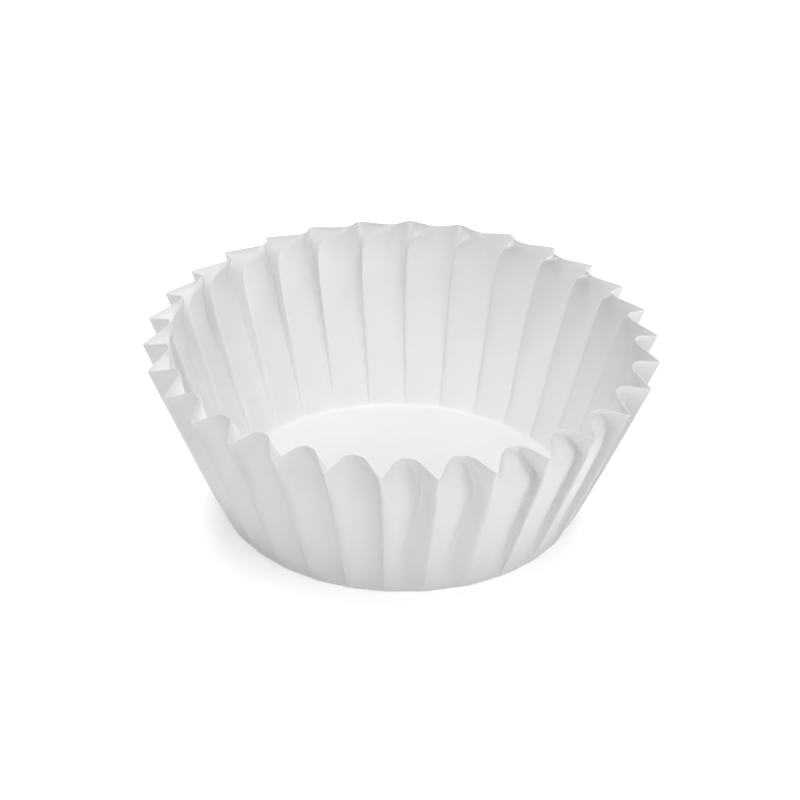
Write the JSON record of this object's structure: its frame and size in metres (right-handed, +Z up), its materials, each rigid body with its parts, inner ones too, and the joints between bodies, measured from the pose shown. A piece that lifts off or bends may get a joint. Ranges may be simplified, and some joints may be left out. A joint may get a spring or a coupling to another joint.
{
  "type": "paper cupcake liner",
  "caption": "Open round baking cup of thin white paper, with a flat floor and a flared wall pressed into even flutes with a scalloped rim.",
  "frame": {"origin": "middle of the underside of the floor, on the surface that the cup stands on", "axes": "+Z up out of the open mouth, -Y towards the side that the picture shows nearest"},
  "size_m": [0.0727, 0.0727, 0.0269],
  "materials": {
    "paper": "plain white greaseproof paper, smooth and matt with a faint sheen on the folds"
  },
  "bodies": {
    "root": {"cupcake_liner": "paper"}
  },
  "joints": []
}
